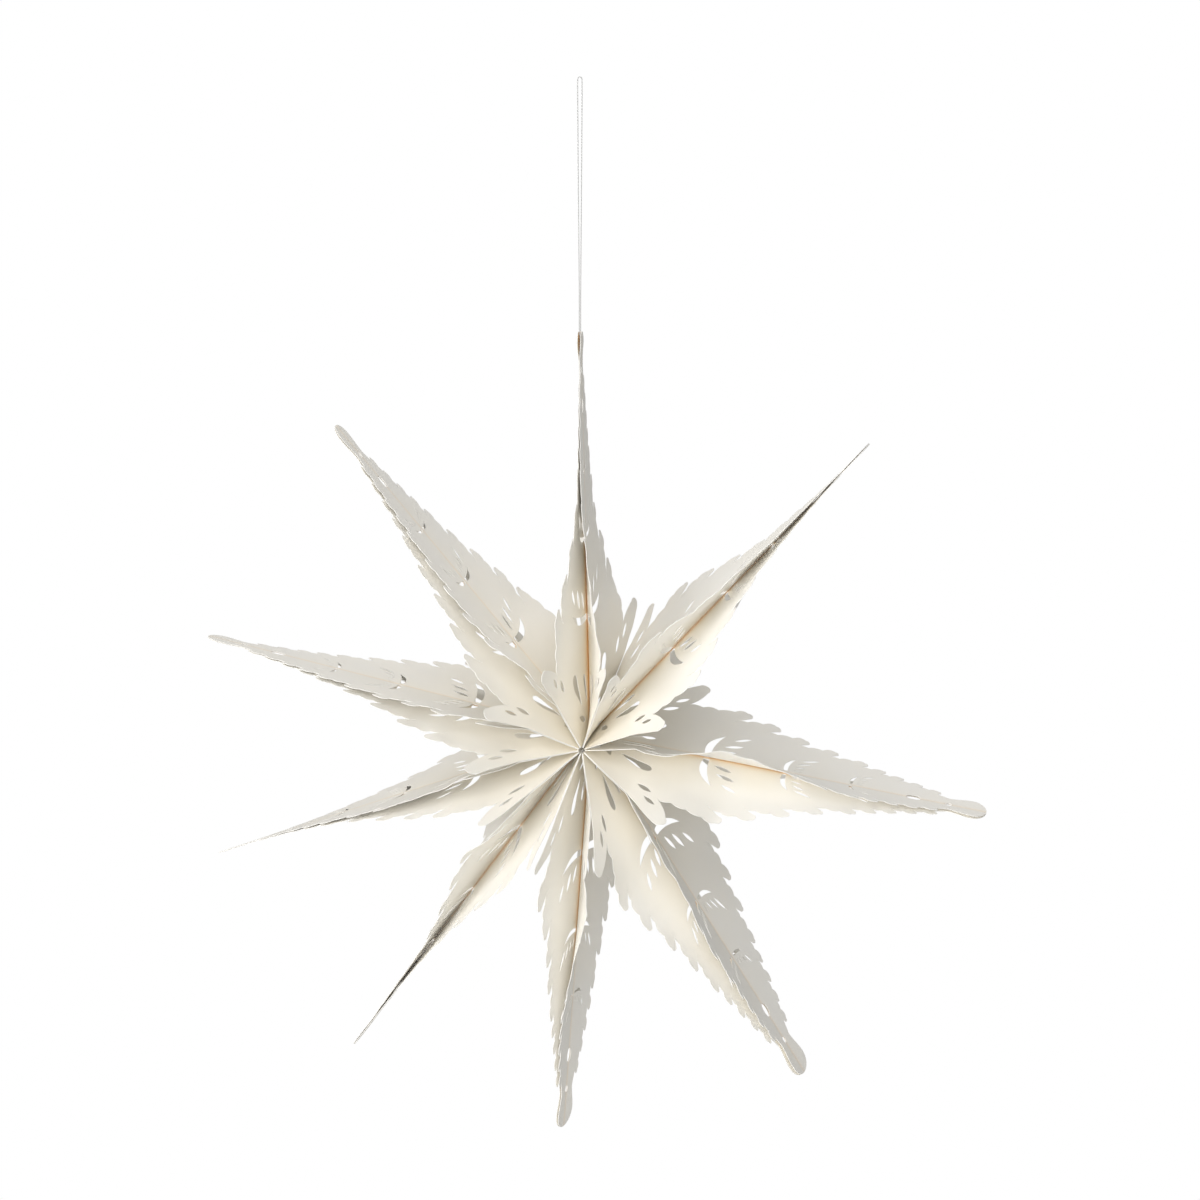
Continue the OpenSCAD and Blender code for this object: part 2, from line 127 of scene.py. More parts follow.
# Mesh, millimetres: spacing of points along cut edges and across the paper, rows beside the
# crease, reach of the rows, and the room left to the cut edges at the crease and elsewhere
EDGE_STEP = 0.9
GRID_STEP = 2.6
CREASE_ROWS = (0, 0.3, 0.8, 1.5)
ROWS_FROM = 3.0
ROWS_TO = 62
CREASE_ROOM = 0.25
EDGE_ROOM = 0.7

STAR_CENTRE = np.array([
    -TIP_R * math.cos(math.radians(DIRECTION[0])), 0.0,
    -THREAD_DROP - TIP_R * math.sin(math.radians(DIRECTION[0])),
])


def add_object(name, data):
    piece = bpy.data.objects.new(name, data)
    bpy.context.scene.collection.objects.link(piece)
    return piece


def camera():
    """The photograph's view: a little from the right and from above."""
    azimuth = math.radians(7)
    elevation = math.radians(7)
    distance = 1.6
    photo_px = 1200
    px_per_m = 2000
    star_px = (590.5, 733.5)
    back = Vector((math.sin(azimuth) * math.cos(elevation),
                   -math.cos(azimuth) * math.cos(elevation), math.sin(elevation)))
    star = Vector(STAR_CENTRE * MM)
    place = star + back * distance
    focal_px = distance * px_per_m
    data = bpy.data.cameras.new("photo_camera")
    data.sensor_width = 36.0
    data.lens = focal_px / photo_px * data.sensor_width
    data.clip_start = 0.05
    data.clip_end = 50.0
    cam = add_object("photo_camera", data)
    cam.location = place
    # Aim beside the star, so that its centre falls on its pixel
    level = (-back).to_track_quat("-Z", "Y")
    right = level @ Vector((1, 0, 0))
    up = level @ Vector((0, 1, 0))
    aim = (star + right * (photo_px / 2 - star_px[0]) / px_per_m
           - up * (photo_px / 2 - star_px[1]) / px_per_m)
    cam.rotation_mode = "QUATERNION"
    cam.rotation_quaternion = (aim - place).to_track_quat("-Z", "Y")
    bpy.context.scene.camera = cam


# Bend of a sheet: the same rules as the part's source

def smooth(t):
    c = np.clip(t, 0.0, 1.0)
    return c * c * (3 - 2 * c)


def mix(a, b, t):
    return a + (b - a) * t


def half_angle(k, side):
    """Half of the angle to the neighbour on one side, 1 being anticlockwise."""
    if (k == LAST and side < 0) or (k == LAST - 1 and side > 0):
        return SEAM_HALF
    if side > 0:
        ahead = DIRECTION[0] + 360 if k == LAST else DIRECTION[k + 1]
        return (ahead - DIRECTION[k]) / 2
    behind = DIRECTION[LAST] - 360 if k == 0 else DIRECTION[k - 1]
    return (DIRECTION[k] - behind) / 2


def ridge_half(s):
    return CORE_HALF + RIDGE_RISE * s


def glued_flare(s, half):
    out = s * math.tan(math.radians(half)) - PAPER_T - RING_GAP
    return np.arcsin(np.maximum(0.0, out / ridge_half(s)))


def flare(k, side, s):
    """Angle of a wing from the point's middle plane, in radians."""
    half = half_angle(k, side)
    peak = math.radians(SPREAD[k][0 if side > 0 else 1])
    glued = float(glued_flare(RIDGE_LEN, half))
    held = FINGER_SHARE * glued
    finger_end = RIDGE_LEN + FINGER_LEN
    past = np.maximum(0.0, s - LOBE_START)
    closing = np.exp(-past * past / (past + CLOSE_START) / CLOSE[k][0 if side > 0 else 1])
    return np.where(
        s <= RIDGE_LEN, glued_flare(s, half), np.where(
            s <= finger_end, mix(glued, held, smooth((s - RIDGE_LEN) / HELD_FROM)), np.where(
                s <= LOBE_START,
                mix(held, peak, smooth((s - finger_end) / (LOBE_START - finger_end))),
                peak * closing)))


def point_turn(k, s):
    """Turn of a point about its crease, in radians."""
    half_way, at_tip = (math.radians(t) for t in TWIST[k])
    rising = half_way * smooth((s - RIDGE_LEN) / (LOBE_START - RIDGE_LEN))
    going_on = mix(half_way, at_tip, smooth((s - LOBE_START) / (TIP_R - LOBE_START)))
    return np.where(s <= LOBE_START, rising, going_on)


def lobe_x(s):
    return LOBE_HALF - LOBE_FALL * (s - LOBE_START)


def waviness(k, side, s, x, apart):
    """How far the paper stands off its even bend: nothing at the crease and the glued edges, and
    little where the twin sheet is near."""
    free = smooth((s - RIDGE_LEN) / 30) * smooth((np.abs(x) - 3) / 25) * smooth(apart / 3)
    seed = 1.7 * k + (0.9 if side > 0 else 0.0)
    front = np.where(x > 0, 1.0, -1.0)
    roll = np.sin(s / 17 + seed * 2.1 + front) + 0.6 * np.sin(s / 8.3 - seed + 2 * front)
    edge = smooth((np.abs(x) - 0.72 * lobe_x(np.minimum(s, 180))) / 12)
    lobe_curl = np.sin(s / 2.6 + seed) * edge * CURL_HEIGHT
    return ROLL_HEIGHT * free * roll + free * lobe_curl


def place_on_sheet(k, side, s, x, lift):
    """Places, in metres, of points s along the crease and x from it, lifted off the middle
    surface towards the face that looks at the neighbouring point."""
    a = flare(k, side, s)
    away = np.sqrt(x * x + FOLD_R * FOLD_R) - FOLD_R
    lifted = lift + waviness(k, side, s, x, away * np.sin(a))
    slope = x / np.sqrt(x * x + FOLD_R * FOLD_R)
    depth = x * np.cos(a) - slope * lifted * np.sin(a)
    offset = GLUE_T / 2 + PAPER_T / 2
    if k == 0:
        offset = offset + (KNOT_D + GLUE_T) / 2 * smooth(
            (s - TIP_R + SPLAY_LEN) / (SPLAY_LEN - LEVEL_LEN))
    out = offset + away * np.sin(a) + lifted * np.cos(a)
    turn = point_turn(k, s)
    sideways = side * out * np.cos(turn) - depth * np.sin(turn)
    forwards = depth * np.cos(turn) + side * out * np.sin(turn)
    d = math.radians(DIRECTION[k])
    return MM * np.stack([
        STAR_CENTRE[0] + s * math.cos(d) - sideways * math.sin(d) + LEAN_X * forwards,
        -forwards,
        STAR_CENTRE[2] + s * math.sin(d) + sideways * math.cos(d) + LEAN_Z * forwards,
    ], axis=-1)


# Flat pattern of a sheet: [along the crease, away from it], one half, then mirrored

def arc(start, end, bulge, steps):
    """Points on an arc from start up to but not including end, bulging to the left of the way by
    a share of its length."""
    start, end = np.array(start, float), np.array(end, float)
    run = end - start
    across = np.array([-run[1], run[0]])
    t = np.arange(steps) / steps
    return [tuple(start + run * u + across * 4 * bulge * u * (1 - u)) for u in t]


def rounded_end(base_a, base_b, tip, steps):
    """A tongue from base_a round the tip and back to base_b, with straight sides."""
    base_a, base_b, tip = (np.array(p, float) for p in (base_a, base_b, tip))
    way = tip - (base_a + base_b) / 2
    way = way / np.linalg.norm(way)
    half = (base_b - base_a) / 2
    half_w = np.linalg.norm(half - way * np.dot(half, way))
    side = np.array([-way[1], way[0]])
    if np.dot(side, base_a - base_b) < 0:
        side = -side
    radius = half_w * 0.95
    centre = tip - way * radius
    turn = np.linspace(0, math.pi, steps)
    return [tuple(centre + side * radius * math.cos(t) + way * radius * math.sin(t))
            for t in turn]


FINGER_BASE = np.array([RIDGE_LEN, ridge_half(RIDGE_LEN)])
FINGER_DIR = np.array([FINGER_LEN, FINGER_RISE]) / math.hypot(FINGER_LEN, FINGER_RISE)
FINGER_SIDE = np.array([FINGER_DIR[1], -FINGER_DIR[0]])
FINGER_TIP = FINGER_BASE + np.array([FINGER_LEN, FINGER_RISE])
FIRST_NOTCH = FINGER_BASE + FINGER_SIDE * (FINGER_W + 4) + FINGER_DIR * 10
LOBE_AT = [LOBE_START + i * WIDE_PITCH for i in range(WIDE_N)]
LOBE_AT += [LOBE_AT[-1] + (i + 1) * SMALL_PITCH for i in range(SMALL_N)]


def notch_after(i):
    depth = NOTCH_SHARE * lobe_x(LOBE_AT[i])
    return np.array([LOBE_AT[i] - depth * math.cos(NOTCH_DIR),
                     lobe_x(LOBE_AT[i]) - depth * math.sin(NOTCH_DIR)])


def finger_outline():
    """The first narrow lobe: a tongue with a rounded tip."""
    near = FINGER_TIP + FINGER_SIDE * FINGER_W * 0.5
    base = FINGER_BASE + FINGER_DIR * 12
    tip = rounded_end(base, base + FINGER_SIDE * FINGER_W, near + FINGER_DIR * 0.6, 9)
    return [tuple(FINGER_BASE)] + tip + arc(tip[-1], FIRST_NOTCH, 0.05, 6)[1:]


def lobe_outline(i):
    """A wide lobe: low scallops with cusps between them, then a tongue with a rounded tip. A small
    lobe has one scallop."""
    start = FIRST_NOTCH if i == 0 else notch_after(i - 1)
    tip = np.array([LOBE_AT[i], lobe_x(LOBE_AT[i])])
    end = notch_after(i)
    round_r = max(0.9, 0.056 * tip[1])
    centre = tip + np.array([-0.4 * round_r, 0.3 - round_r])
    turn = np.radians(np.arange(105, -37, -20))
    rounding = [tuple(centre + round_r * np.array([math.cos(t), math.sin(t)])) for t in turn]
    run = tip - start
    across = np.array([-run[1], run[0]])
    if i == 0:
        cusps = [(0.26, 0.05), (0.5, 0.05), (0.75, 0.035)]
    elif i < WIDE_N:
        cusps = [(0.34, 0.05), (0.66, 0.03)]
    else:
        cusps = [(0.5, 0.03)]
    stops = [start] + [start + run * u + across * h for u, h in cusps]
    points = []
    for a, b in zip(stops, stops[1:] + [np.array(rounding[0])]):
        points += arc(a, b, 0.17, 6)
    return points + rounding + arc(rounding[-1], end, -0.02, 5)[1:]


def paddle_outline():
    """The rounded end of the point: a neck beside the small hole, then a full round."""
    neck = np.array([TIP_R - SMALL_HOLE[0], 0.75 * PADDLE_HALF])
    round_len = 0.3 * PADDLE_LEN
    widest = np.array([TIP_R - round_len, PADDLE_HALF])
    side = [(mix(neck[0], widest[0], u), mix(neck[1], widest[1], float(smooth(u))))
            for u in np.arange(0, 1, 0.125)]
    turn = np.radians(np.arange(0, 90, 9))
    rim = [(widest[0] + round_len * math.sin(t), PADDLE_HALF * math.cos(t)) for t in turn]
    return side + rim + [(TIP_R, 0.0)]


def half_outline():
    points = [(HUB_R, ridge_half(HUB_R))] + finger_outline()
    for i in range(len(LOBE_AT)):
        points += lobe_outline(i)
    return points + paddle_outline()


def lens(start, end, left, right, steps=8):
    """A slit pointed at both ends."""
    return arc(start, end, left, steps) + arc(end, start, right, steps)


def comma(start, end, width):
    """A fuller cut, pointed at its start and rounded at its end."""
    start, end = np.array(start, float), np.array(end, float)
    run = end - start
    length = np.linalg.norm(run)
    across = np.array([-run[1], run[0]]) / length
    t = np.concatenate([np.linspace(0, 0.8, 8), 0.8 + 0.2 * np.sin(np.linspace(0.3, 1.57, 5))])
    half = width * np.where(t < 0.8, np.sin(t / 0.8 * math.pi / 2) ** 0.8,
                            np.sqrt(np.maximum(0, 1 - ((t - 0.8) / 0.2) ** 2)))
    left = [tuple(start + run * u + across * h) for u, h in zip(t, half)]
    right = [tuple(start + run * u - across * h) for u, h in zip(t[1:-1], half[1:-1])]
    return left + right[::-1]


def crescent(at, size):
    """The crescent of a fan motif, its back towards the star's centre."""
    def there(s, x):
        return (at + size * s, STRIP_HALF + size * x)
    back = arc(there(0, 0), there(7.5, 18.5), 0.19, 14)
    inside = arc(there(7.5, 18.5), there(3.0, 0), -0.08, 12)
    return back + inside + [there(3.0, 0)]


BROAD_SLITS = (((6, 3.5), (15.5, 6)), ((8, 9), (18, 11.8)), ((12, 15.5), (20.5, 19.2)))
FINE_SLITS = (((7, 2), (15, 3)), ((7.5, 6.5), (17, 8.5)), ((9, 11.5), (21, 15.5)),
              ((11.5, 17), (27, 23)))
BROAD_FROM = 0.8
BROAD_BULGE = 0.11
FINE_BULGE = 0.07


def fan_slits(at, size):
    """The slits that fan out from a crescent: three broad ones, or four fine ones."""
    broad = size > BROAD_FROM
    bulge = BROAD_BULGE if broad else FINE_BULGE
    slits = []
    for a, b in BROAD_SLITS if broad else FINE_SLITS:
        start = (at + size * a[0], STRIP_HALF + size * a[1])
        end = (at + size * b[0], STRIP_HALF + size * b[1])
        slits.append(lens(start, end, bulge, bulge))
    return slits


def root_slits():
    """The slits around the root of the sheet."""
    return [
        comma((17, 3.6), (32, 5.8), 1.1),
        comma((18, 10.5), (35, 17.5), 2.3),
        lens((30.5, 28.5), (38.5, 33.5), 0.14, 0.14),
        lens((35.5, 36.5), (42, 42.5), 0.13, 0.13),
        lens((13.5, 15), (9.5, 7.5), 0.18, 0.18),
    ]


def oval(back, length, width):
    turn = np.radians(np.arange(0, 360, 18))
    return [(TIP_R - back + length / 2 * math.cos(t), width / 2 * math.sin(t)) for t in turn]


def mirrored(points):
    return [(s, -x) for s, x in reversed(points)]


def resampled(points, step):
    """A closed outline with points no further apart than a step."""
    out = []
    for a, b in zip(points, points[1:] + points[:1]):
        a, b = np.array(a), np.array(b)
        parts = max(1, int(math.ceil(np.linalg.norm(b - a) / step)))
        out += [tuple(a + (b - a) * i / parts) for i in range(parts)]
    return out


def pattern_loops():
    """The sheet's outline and all of its holes, as closed loops of points."""
    half = half_outline()
    outline = half + mirrored(half)[1:]
    holes = [crescent(at, size) for at, size in zip(FAN_AT, FAN_SIZE)]
    for at, size in zip(FAN_AT, FAN_SIZE):
        holes += fan_slits(at, size)
    holes += root_slits()
    holes += [mirrored(h) for h in holes]
    holes += [oval(*LARGE_HOLE), oval(*SMALL_HOLE)]
    return [resampled(loop, EDGE_STEP) for loop in [outline] + holes]


def inside(loops, s, x):
    """Even-odd test of many points against all loops at once."""
    odd = np.zeros(len(s), bool)
    for loop in loops:
        p = np.array(loop)
        q = np.roll(p, -1, axis=0)
        for (s0, x0), (s1, x1) in zip(p, q):
            if x0 == x1:
                continue
            crosses = (x0 > x) != (x1 > x)
            odd ^= crosses & (s < s0 + (x - x0) * (s1 - s0) / (x1 - x0))
    return odd


def flat_mesh():
    """The flat pattern as triangles, and the loops of its cut edges. All sheets share it."""
    loops = pattern_loops()
    points, edges = [], []
    for loop in loops:
        first = len(points)
        points += loop
        edges += [(first + i, first + (i + 1) % len(loop)) for i in range(len(loop))]
    rim = np.array(points)
    across = np.concatenate([CREASE_ROWS, np.arange(ROWS_FROM, ROWS_TO, GRID_STEP)])
    across = np.concatenate([-across[:0:-1], across])
    gs, gx = np.meshgrid(np.arange(HUB_R + 1, TIP_R - 0.5, GRID_STEP), across)
    gs, gx = gs.ravel(), gx.ravel()
    keep = inside(loops, gs, gx)
    gs, gx = gs[keep], gx[keep]
    for start in range(0, len(gs), 500):
        piece = slice(start, start + 500)
        apart = np.hypot(gs[piece, None] - rim[None, :, 0], gx[piece, None] - rim[None, :, 1])
        room = np.where(np.abs(gx[piece]) < 2, CREASE_ROOM, EDGE_ROOM)
        near = apart.min(axis=1) < room
        gs[piece] = np.where(near, np.nan, gs[piece])
    kept = ~np.isnan(gs)
    points += list(zip(gs[kept], gx[kept]))
    verts, _, faces, *_ = geometry.delaunay_2d_cdt(
        [Vector(p) for p in points], edges, [], 0, 1e-5)
    flat = np.array([tuple(v) for v in verts])
    tris = np.array([f for f in faces if len(f) == 3])
    centre = flat[tris].mean(axis=1)
    tris = tris[inside(loops, centre[:, 0], centre[:, 1])]
    used = np.unique(tris)
    renumber = np.full(len(flat), -1)
    renumber[used] = np.arange(len(used))
    flat, tris = flat[used], renumber[tris]
    corners = flat[tris]
    turn = np.cross(corners[:, 1] - corners[:, 0], corners[:, 2] - corners[:, 0])
    tris[turn < 0] = tris[turn < 0][:, ::-1]
    return flat, tris


def open_edges(tris):
    """Directed edges that only one triangle has."""
    edges = np.concatenate([tris[:, [0, 1]], tris[:, [1, 2]], tris[:, [2, 0]]])
    have = {tuple(e) for e in edges}
    return np.array([e for e in have if (e[1], e[0]) not in have])


def paper_sheet(name, k, side, flat, tris, materials):
    """One bent die-cut sheet: face towards the neighbour, face towards its twin, cut edges."""
    s, x = flat[:, 0], flat[:, 1]
    n = len(flat)
    outer = place_on_sheet(k, side, s, x, PAPER_T / 2)
    inner = place_on_sheet(k, side, s, x, -PAPER_T / 2)
    rim = open_edges(tris)
    # Seen from the anticlockwise side, a triangle's turn in the flat pattern is reversed
    front = tris[:, ::-1] if side > 0 else tris
    back = front[:, ::-1] + n
    if side > 0:
        walls = [(int(a), int(b), int(b) + n, int(a) + n) for a, b in rim]
    else:
        walls = [(int(b), int(a), int(a) + n, int(b) + n) for a, b in rim]
    faces = [tuple(map(int, f)) for f in front] + [tuple(map(int, f)) for f in back] + walls
    mesh = bpy.data.meshes.new(name)
    mesh.from_pydata(np.concatenate([outer, inner]).tolist(), [], faces)
    for m in materials:
        mesh.materials.append(m)
    which = np.concatenate([np.zeros(len(tris)), np.ones(len(tris)), np.full(len(walls), 2)])
    mesh.polygons.foreach_set("material_index", which.astype(np.int32))
    mesh.polygons.foreach_set("use_smooth", np.ones(len(faces), bool))
    uv = mesh.uv_layers.new(name="pattern")
    loop_vert = np.empty(len(mesh.loops), np.int32)
    mesh.loops.foreach_get("vertex_index", loop_vert)
    both = np.concatenate([flat, flat])[loop_vert]
    uv.data.foreach_set("uv", (both / TIP_R).astype(np.float32).ravel())
    mesh.set_sharp_from_angle(angle=math.radians(40))
    mesh.validate()
    piece = add_object(name, mesh)
    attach(piece, "root")
    return piece


# Materials

def new_material(name):
    mat = bpy.data.materials.new(name)
    mat.use_nodes = True
    nodes = mat.node_tree.nodes
    return mat, nodes, mat.node_tree.links, nodes["Principled BSDF"]


def math_node(nodes, links, kind, a, b=None):
    node = nodes.new("ShaderNodeMath")
    node.operation = kind
    for socket, value in zip(node.inputs, (a, b)):
        if value is None:
            continue
        if isinstance(value, (int, float)):
            socket.default_value = value
        else:
            links.new(value, socket)
    return node.outputs[0]


def colour_mix(nodes, links, factor, a, b):
    node = nodes.new("ShaderNodeMix")
    node.data_type = "RGBA"
    for socket, value in ((node.inputs[0], factor), (node.inputs[6], a), (node.inputs[7], b)):
        if isinstance(value, (int, float, tuple)):
            socket.default_value = value
        else:
            links.new(value, socket)
    return node.outputs[2]


def noise_texture(nodes, links, scale, detail):
    """Noise over the object's own space."""
    coords = nodes.new("ShaderNodeTexCoord")
    noise = nodes.new("ShaderNodeTexNoise")
    noise.inputs["Scale"].default_value = scale
    noise.inputs["Detail"].default_value = detail
    links.new(coords.outputs["Object"], noise.inputs["Vector"])
    return noise.outputs[0]


def bump(nodes, links, height, strength, distance, shader):
    node = nodes.new("ShaderNodeBump")
    node.inputs["Strength"].default_value = strength
    node.inputs["Distance"].default_value = distance
    links.new(height, node.inputs["Height"])
    links.new(node.outputs[0], shader.inputs["Normal"])


def fade(nodes, links, value, length):
    """One at zero, falling off over a length."""
    share = math_node(nodes, links, "MULTIPLY", value, -1 / length)
    return math_node(nodes, links, "EXPONENT", share)


# One paper, but the inner faces are painted a lighter white and the outer faces a greyer one:
# painted light and painted shade
PAINTED_LIT_INNER_WHITE = (0.94, 0.925, 0.885, 1)
PAINTED_SHADE_OUTER_WHITE = (0.87, 0.852, 0.812, 1)
# The warm colour serves the paper's own fibre mottle and the painted warm glow of light in the
# folds; the gold is painted light along the crease
WARM_FIBRE_AND_PAINTED_GLOW = (0.94, 0.85, 0.66, 1)
PAINTED_GLOW_GOLD = (0.92, 0.52, 0.10, 1)
EDGE_WHITE = (0.88, 0.865, 0.83, 1)
THREAD_DARK = (0.40, 0.40, 0.395, 1)
THREAD_LIGHT = (0.66, 0.66, 0.65, 1)

# Painted warm glow of light bounced in the folds and near the star's centre, lengths in millimetres
HALO_WIDTH = 7.0
CENTRE_REACH = 34.0
CENTRE_GLOW_DEPTH = 0.5
MOTTLE_DEPTH = 0.12
# Painted glow on the outer faces: depth of the warm glow, depth of the gold line, width of the line
OUTER_PAINTED_GLOW = (0.1, 0.2, 0.6)


def painted_glow_depths(strength):
    """For an inner face: how deep the painted warm glow and the painted gold line of light in the
    crease are, and how wide the line is.
    """
    return 0.15 + 0.45 * strength, 0.5 + 0.5 * strength, 0.7 + 1.1 * strength


def paper_material(name, white, halo_depth, line_depth, line_width):
    """Uncoated card with a fine fibre. Towards its crease and the star's centre a warm glow and a
    gold line along the crease are painted in, standing in for light bounced in a narrow fold and
    passing through the sheets, so they stay the same under any light."""
    mat, nodes, links, shader = new_material(name)
    uv = nodes.new("ShaderNodeUVMap")
    uv.uv_map = "pattern"
    split = nodes.new("ShaderNodeSeparateXYZ")
    links.new(uv.outputs[0], split.inputs[0])
    along = math_node(nodes, links, "MULTIPLY", split.outputs[0], TIP_R)
    beside = math_node(nodes, links, "ABSOLUTE", split.outputs[1])
    away = math_node(nodes, links, "MULTIPLY", beside, TIP_R)
    # Painted light: a warm glow near the crease and the star's centre, and a gold line along the
    # crease
    halo = fade(nodes, links, away, HALO_WIDTH)
    near_fold = math_node(nodes, links, "MULTIPLY", halo, halo_depth)
    centre = fade(nodes, links, along, CENTRE_REACH)
    near_centre = math_node(nodes, links, "MULTIPLY", centre, CENTRE_GLOW_DEPTH)
    both = math_node(nodes, links, "ADD", near_fold, near_centre)
    warm = math_node(nodes, links, "MINIMUM", both, 1.0)
    gold = fade(nodes, links, away, line_width)
    line = math_node(nodes, links, "MULTIPLY", gold, line_depth)
    speck = nodes.new("ShaderNodeMapRange")
    speck.inputs["From Min"].default_value = 0.3
    speck.inputs["From Max"].default_value = 0.7
    speck.inputs["To Min"].default_value = 0.0
    speck.inputs["To Max"].default_value = MOTTLE_DEPTH
    links.new(noise_texture(nodes, links, 55, 4), speck.inputs["Value"])
    # The mottle is the paper's own; the warm glow and gold line mixed over it are painted light
    base = colour_mix(nodes, links, speck.outputs[0], white, WARM_FIBRE_AND_PAINTED_GLOW)
    with_painted_glow = colour_mix(nodes, links, warm, base, WARM_FIBRE_AND_PAINTED_GLOW)
    with_painted_line = colour_mix(nodes, links, line, with_painted_glow, PAINTED_GLOW_GOLD)
    links.new(with_painted_line, shader.inputs["Base Color"])
    shader.inputs["Roughness"].default_value = 0.78
    shader.inputs["Specular IOR Level"].default_value = 0.25
    bump(nodes, links, noise_texture(nodes, links, 600, 3), 0.04, 0.0002, shader)
    return mat


def edge_material():
    """The cut edge of the card: whiter, and rougher than its face."""
    mat, nodes, links, shader = new_material("card_edge")
    fibre = noise_texture(nodes, links, 2500, 2)
    shade = colour_mix(nodes, links, fibre, EDGE_WHITE, PAINTED_SHADE_OUTER_WHITE)
    links.new(shade, shader.inputs["Base Color"])
    shader.inputs["Roughness"].default_value = 0.9
    return mat


def thread_material():
    """White twisted thread."""
    mat, nodes, links, shader = new_material("white_thread")
    coords = nodes.new("ShaderNodeTexCoord")
    plies = nodes.new("ShaderNodeTexWave")
    plies.wave_type = "BANDS"
    plies.bands_direction = "DIAGONAL"
    plies.inputs["Scale"].default_value = 420
    plies.inputs["Distortion"].default_value = 0.4
    links.new(coords.outputs["Object"], plies.inputs["Vector"])
    shade = colour_mix(nodes, links, plies.outputs[1], THREAD_DARK, THREAD_LIGHT)
    links.new(shade, shader.inputs["Base Color"])
    bump(nodes, links, plies.outputs[1], 0.4, 0.00005, shader)
    shader.inputs["Roughness"].default_value = 0.6
    shader.inputs["Sheen Weight"].default_value = 0.3
    return mat


# Thread and knot

def thread_route():
    """Up one strand, over the loop's top and down the other, in metres."""
    left = [(-x, z) for x, z in reversed(STRAND)][:-1]
    return [Vector((x * MM, 0, z * MM)) for x, z in left + STRAND]


def tube(name, path, radius, sides, closed, material):
    """A round tube along a path, as a mesh."""
    # A direction that no path here takes
    aside = Vector((0.31, 0.95, 0.07))
    mesh_builder = bmesh.new()
    rings = []
    count = len(path)
    for i, p in enumerate(path):
        a = path[i - 1] if closed or i else p
        b = path[(i + 1) % count] if closed or i < count - 1 else p
        along = (b - a).normalized()
        across = along.cross(aside).normalized()
        other = along.cross(across)
        rings.append([mesh_builder.verts.new(
            p + radius * (across * math.cos(t) + other * math.sin(t)))
            for t in np.arange(sides) * 2 * math.pi / sides])
    for i in range(count if closed else count - 1):
        one, two = rings[i], rings[(i + 1) % count]
        for j in range(sides):
            mesh_builder.faces.new((one[j], one[(j + 1) % sides], two[(j + 1) % sides], two[j]))
    bmesh.ops.recalc_face_normals(mesh_builder, faces=mesh_builder.faces)
    for f in mesh_builder.faces:
        f.smooth = True
    mesh = bpy.data.meshes.new(name)
    mesh_builder.to_mesh(mesh)
    mesh_builder.free()
    mesh.materials.append(material)
    return add_object(name, mesh)


def knot(material):
    """An overhand knot, pulled tight between the two sheets of the top point."""
    centre = Vector((0, 0, (STRAND[-1][1] - KNOT_D / 2) * MM))
    big, small = 0.17 * KNOT_D * MM, 0.11 * KNOT_D * MM
    turns = np.linspace(0, 2 * math.pi, 72, endpoint=False)
    path = []
    for t in turns:
        out = (big + small * math.cos(3 * t)) * 1.1
        path.append(centre + Vector((out * math.cos(2 * t), out * math.sin(2 * t),
                                     small * math.sin(3 * t) * 1.5)))
    piece = tube("tied_knot", path, 0.2 * KNOT_D * MM, 10, True, material)
    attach(piece, "root")
    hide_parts("thread_knot")
    return piece


def thread(material):
    route = thread_route()
    data = bpy.data.curves.new("hanging_thread_line", "CURVE")
    data.dimensions = "3D"
    data.bevel_depth = THREAD_D / 2 * MM
    data.bevel_resolution = 3
    spline = data.splines.new("POLY")
    spline.points.add(len(route) - 1)
    for point, p in zip(spline.points, route):
        point.co = (*p, 1)
    data.use_fill_caps = True
    data.materials.append(material)
    piece = add_object("hanging_thread_line", data)
    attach(piece, "root")
    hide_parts("hanging_thread")
    return piece


# Stage

# Lamps: place in metres and power in watts
LAMP_SIZE = 1.2
LAMP_COLOUR = (1.0, 0.985, 0.965)
LAMPS = {
    "left_soft_box": ((-1.4, -1.4, -0.12), 17),
    "front_soft_box": ((0.0, -2.0, -0.32), 11),
    "high_soft_box": ((0.0, -1.6, 0.88), 8),
    "top_soft_box": ((0.0, -0.2, 1.65), 5),
    "back_soft_box": ((0.0, 1.4, 1.1), 7),
}
FLOOR_HALF = 3.0
FLOOR_LEVEL = -0.85


def soft_box(name, place, power):
    """A round lamp aimed at the star's centre."""
    data = bpy.data.lights.new(name, "AREA")
    data.shape = "DISK"
    data.size = LAMP_SIZE
    data.energy = power
    data.color = LAMP_COLOUR
    lamp = add_object(name, data)
    lamp.location = place
    lamp.rotation_mode = "QUATERNION"
    lamp.rotation_quaternion = (Vector(STAR_CENTRE * MM) - Vector(place)).to_track_quat("-Z", "Y")


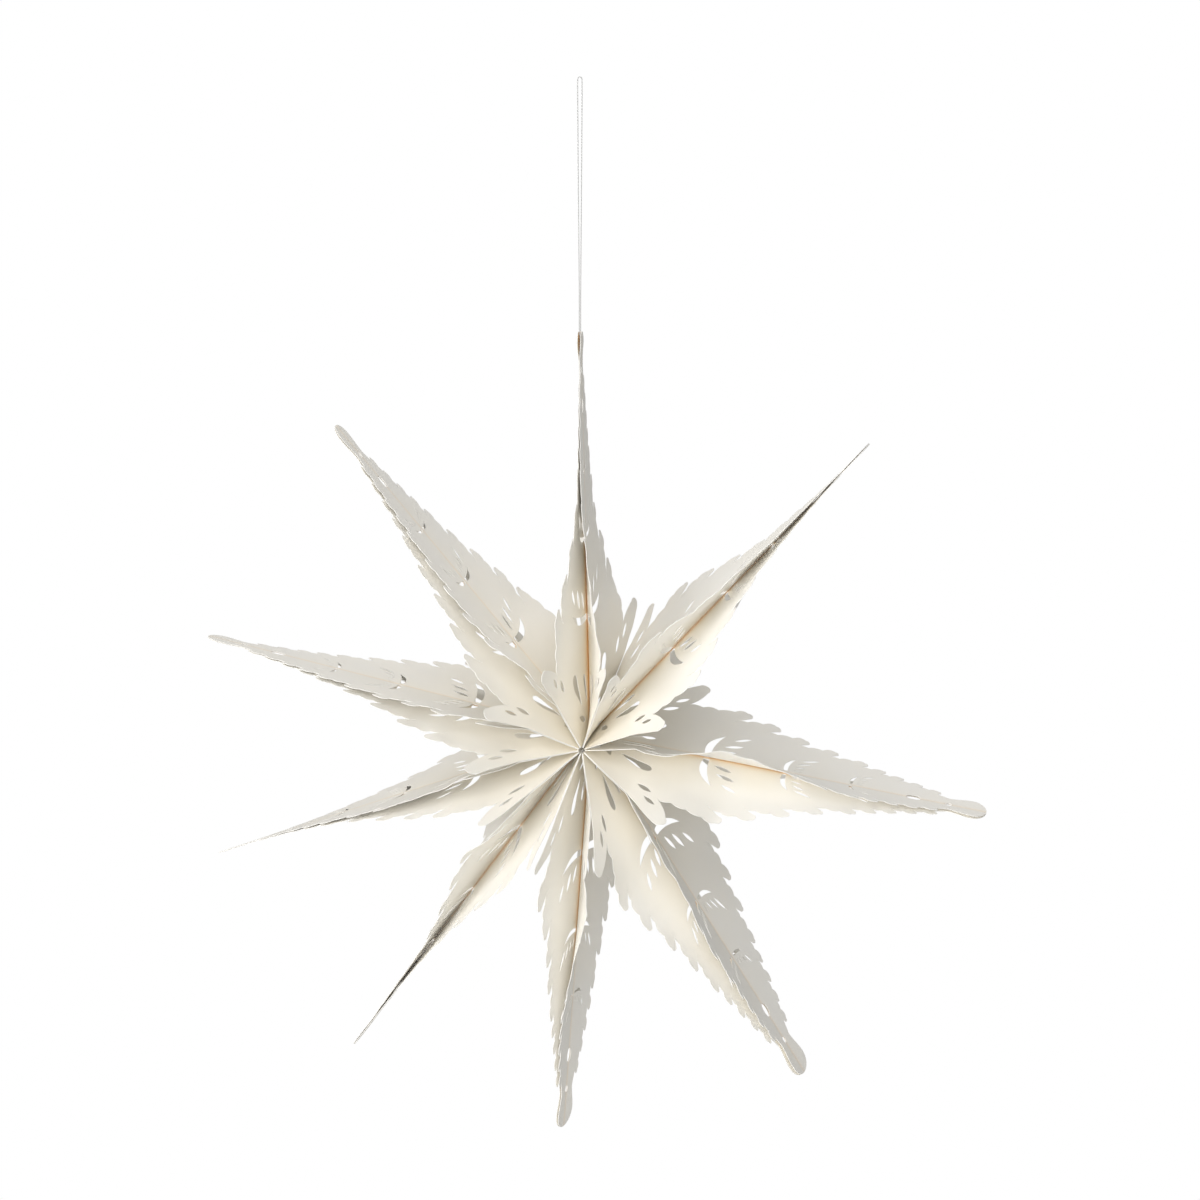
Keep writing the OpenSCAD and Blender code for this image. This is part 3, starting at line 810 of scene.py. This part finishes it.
def white_where_seen(tree, shader_out, output, glow_kind):
    """White to the camera and in reflections; otherwise the surface's own shader."""
    nodes, links = tree.nodes, tree.links
    path = nodes.new("ShaderNodeLightPath")
    mirrored_ray = math_node(nodes, links, "MAXIMUM", path.outputs["Is Glossy Ray"],
                             path.outputs["Is Transmission Ray"])
    seen = math_node(nodes, links, "MAXIMUM", path.outputs["Is Camera Ray"], mirrored_ray)
    glow = nodes.new(glow_kind)
    glow.inputs["Color"].default_value = (1, 1, 1, 1)
    glow.inputs["Strength"].default_value = 1
    mixer = nodes.new("ShaderNodeMixShader")
    links.new(seen, mixer.inputs[0])
    links.new(shader_out, mixer.inputs[1])
    links.new(glow.outputs[0], mixer.inputs[2])
    links.new(mixer.outputs[0], output.inputs["Surface"])


def stage():
    """White surroundings, a floor well below, and large soft lamps, four in front and one
    behind."""
    scene = bpy.context.scene
    scene.view_settings.view_transform = "Standard"
    world = bpy.data.worlds.new("surroundings")
    scene.world = world
    world.use_nodes = True
    tree = world.node_tree
    ambient = tree.nodes["Background"]
    ambient.inputs["Color"].default_value = (0.96, 0.98, 1.0, 1)
    ambient.inputs["Strength"].default_value = 0.36
    white_where_seen(tree, ambient.outputs[0], tree.nodes["World Output"], "ShaderNodeBackground")
    mat, nodes, links, shader = new_material("white_floor")
    shader.inputs["Base Color"].default_value = (0.86, 0.86, 0.85, 1)
    shader.inputs["Roughness"].default_value = 0.9
    white_where_seen(mat.node_tree, shader.outputs[0], nodes["Material Output"],
                     "ShaderNodeEmission")
    mesh = bpy.data.meshes.new("floor")
    corners = [(x * FLOOR_HALF, y * FLOOR_HALF, FLOOR_LEVEL)
               for x, y in ((-1, -1), (1, -1), (1, 1), (-1, 1))]
    mesh.from_pydata(corners, [], [(0, 1, 2, 3)])
    mesh.materials.append(mat)
    floor = add_object("floor", mesh)
    for name, (place, power) in LAMPS.items():
        soft_box(name, place, power)


camera()
white_thread = thread_material()
tied_knot = knot(white_thread)
thread(white_thread)
flat_points, flat_tris = flat_mesh()
card_edge = edge_material()
for k, point in enumerate(NAMES):
    # Inner faces: the lighter white with the deeper painted glow; outer faces: the greyer white,
    # painted shade, with a faint painted glow
    inner_face = paper_material(f"card_inner_painted_lit_{point}", PAINTED_LIT_INNER_WHITE, *painted_glow_depths(PAINTED_CREASE_GLOW[k]))
    outer_face = paper_material(f"card_outer_painted_shade_{point}", PAINTED_SHADE_OUTER_WHITE, *OUTER_PAINTED_GLOW)
    for side, letter in ((1, "a"), (-1, "b")):
        piece = paper_sheet(f"{point}_paper_{letter}", k, side, flat_points, flat_tris,
                            (outer_face, inner_face, card_edge))
        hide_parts(f"{point}_sheet_{letter}")
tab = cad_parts["closing_tab"]
tab.data.materials.clear()
tab.data.materials.append(card_edge)
stage()
